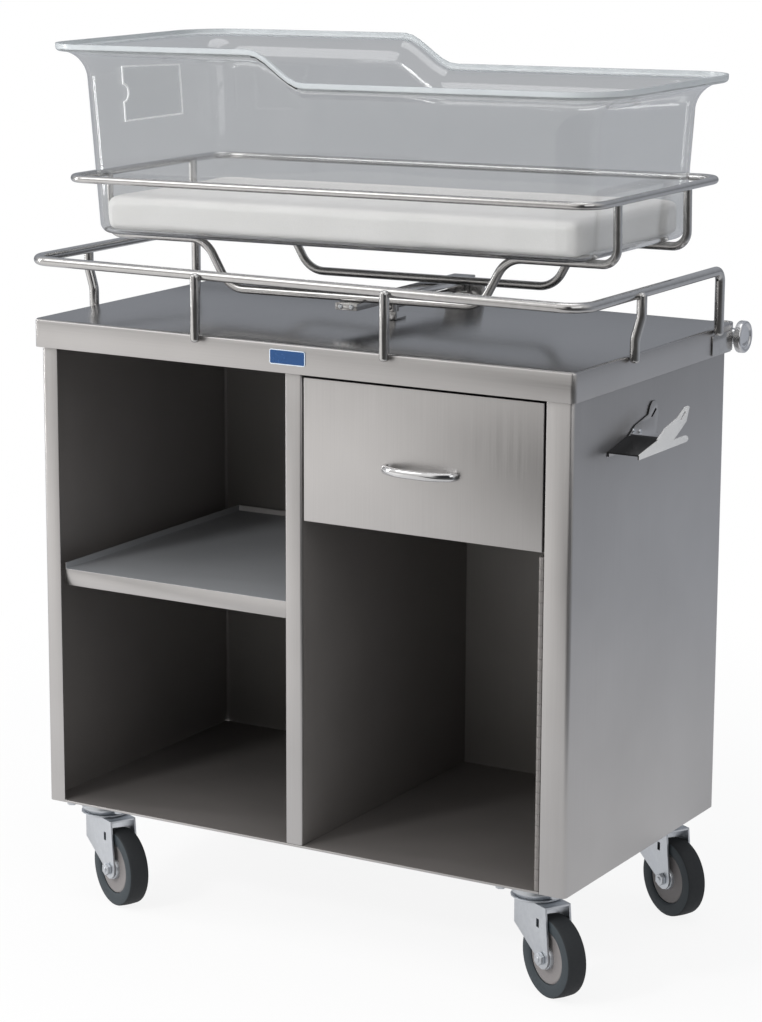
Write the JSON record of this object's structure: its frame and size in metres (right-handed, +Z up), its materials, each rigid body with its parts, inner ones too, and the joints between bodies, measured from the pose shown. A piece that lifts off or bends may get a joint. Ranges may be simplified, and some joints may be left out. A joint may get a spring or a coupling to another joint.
{
  "type": "hospital bassinet",
  "caption": "Stainless hospital bassinet: cabinet on swivel casters with drawer and shelf, guard rail, and a tilting wire carrier holding a clear stepped basket and mattress.",
  "frame": {"origin": "on the floor under the middle of the whole object's box", "axes": "+Z up, +X to the drawer side, seen from the front, +Y to the rear"},
  "size_m": [0.8438, 0.5036, 1.1443],
  "materials": {
    "satin_steel": "satin",
    "polished_steel": "polished",
    "chrome": "bright",
    "zinc": "zinc plated",
    "tyre": "matte",
    "hub": "matte",
    "clear_plastic": "clear gloss",
    "card_plastic": "clear gloss",
    "vinyl": "soft vinyl cover"
  },
  "bodies": {
    "cabinet": {"cabinet_top": "satin_steel", "left_side_panel": "satin_steel", "right_side_panel": "satin_steel", "back_panel": "satin_steel", "floor_panel": "satin_steel", "centre_divider": "satin_steel", "shelf": "satin_steel", "shelf_support_left": "satin_steel", "shelf_support_right": "satin_steel", "drawer_runner_left": "zinc", "drawer_runner_right": "zinc", "hinge_fixed_leaf": "polished_steel", "hinge_pin": "polished_steel", "guard_rail": "polished_steel", "guard_post_front_left": "polished_steel", "guard_post_front_right": "polished_steel", "guard_post_left": "polished_steel", "guard_post_right": "polished_steel", "socket_bracket": "polished_steel", "rod_socket": "polished_steel", "side_bracket": "polished_steel", "tilt_front_stand": "polished_steel", "tilt_rear_stand": "polished_steel", "caster_plate_front_left": "zinc", "caster_plate_front_right": "zinc", "caster_plate_rear_left": "zinc", "caster_plate_rear_right": "zinc"},
    "drawer": {"drawer_front": "satin_steel", "drawer_box": "satin_steel", "drawer_handle": "chrome", "drawer_slide_left": "zinc", "drawer_slide_right": "zinc"},
    "hinge_leaf": {"hinge_free_leaf": "polished_steel"},
    "knob": {"clamp_knob": "chrome"},
    "carrier": {"carrier_ring": "polished_steel", "carrier_front_rod": "polished_steel", "carrier_rear_rod": "polished_steel", "tilt_channel": "polished_steel", "tilt_pin": "polished_steel"},
    "tub": {"basket": "clear_plastic", "card_holder": "card_plastic"},
    "pad": {"mattress": "vinyl"},
    "fork_front_left": {"caster_fork_front_left": "zinc", "caster_axle_front_left": "zinc"},
    "wheel_front_left": {"caster_tyre_front_left": "tyre", "caster_hub_front_left": "hub"},
    "fork_front_right": {"caster_fork_front_right": "zinc", "caster_axle_front_right": "zinc"},
    "wheel_front_right": {"caster_tyre_front_right": "tyre", "caster_hub_front_right": "hub"},
    "fork_rear_left": {"caster_fork_rear_left": "zinc", "caster_axle_rear_left": "zinc"},
    "wheel_rear_left": {"caster_tyre_rear_left": "tyre", "caster_hub_rear_left": "hub"},
    "fork_rear_right": {"caster_fork_rear_right": "zinc", "caster_axle_rear_right": "zinc"},
    "wheel_rear_right": {"caster_tyre_rear_right": "tyre", "caster_hub_rear_right": "hub"}
  },
  "joints": [
    {"name": "drawer_slide", "type": "slide", "parent": "cabinet", "child": "drawer", "axis": [0, -1, 0], "range_m": [0, 0.3]},
    {"name": "hinge_leaf_swing", "type": "hinge", "parent": "cabinet", "child": "hinge_leaf", "pos_m": [0.3393, -0.22404, 0.35], "axis": [0, 0, 1], "range_deg": [0, 178]},
    {"name": "knob_turn", "type": "hinge", "parent": "cabinet", "child": "knob", "pos_m": [0.3611, 0.23106, 0.769], "axis": [1, 0, 0], "range_deg": [0, 720]},
    {"name": "carrier_tilt", "type": "hinge", "parent": "cabinet", "child": "carrier", "pos_m": [0.0011, -0.00404, 0.808], "axis": [0, 1, 0], "range_deg": [-7.1, 5.9]},
    {"name": "basket_lift", "type": "slide", "parent": "carrier", "child": "tub", "axis": [-0.0157, 0, 0.9999], "range_m": [0, 0.25]},
    {"name": "mattress_lift", "type": "slide", "parent": "tub", "child": "pad", "axis": [-0.0157, 0, 0.9999], "range_m": [0, 0.3]},
    {"name": "swivel_front_left", "type": "hinge", "parent": "cabinet", "child": "fork_front_left", "pos_m": [-0.3344, -0.18404, 0.126], "axis": [0, 0, 1], "continuous": true},
    {"name": "roll_front_left", "type": "hinge", "parent": "fork_front_left", "child": "wheel_front_left", "pos_m": [-0.29845, -0.20158, 0.052], "axis": [0.4384, 0.8988, 0], "continuous": true},
    {"name": "swivel_front_right", "type": "hinge", "parent": "cabinet", "child": "fork_front_right", "pos_m": [0.3186, -0.18404, 0.126], "axis": [0, 0, 1], "continuous": true},
    {"name": "roll_front_right", "type": "hinge", "parent": "fork_front_right", "child": "wheel_front_right", "pos_m": [0.35375, -0.20313, 0.052], "axis": [0.4772, 0.8788, 0], "continuous": true},
    {"name": "swivel_rear_left", "type": "hinge", "parent": "cabinet", "child": "fork_rear_left", "pos_m": [-0.3344, 0.16196, 0.126], "axis": [0, 0, 1], "continuous": true},
    {"name": "roll_rear_left", "type": "hinge", "parent": "fork_rear_left", "child": "wheel_rear_left", "pos_m": [-0.29876, 0.1438, 0.052], "axis": [0.454, 0.891, 0], "continuous": true},
    {"name": "swivel_rear_right", "type": "hinge", "parent": "cabinet", "child": "fork_rear_right", "pos_m": [0.3186, 0.16196, 0.126], "axis": [0, 0, 1], "continuous": true},
    {"name": "roll_rear_right", "type": "hinge", "parent": "fork_rear_right", "child": "wheel_rear_right", "pos_m": [0.35392, 0.14318, 0.052], "axis": [0.4695, 0.8829, 0], "continuous": true}
  ]
}
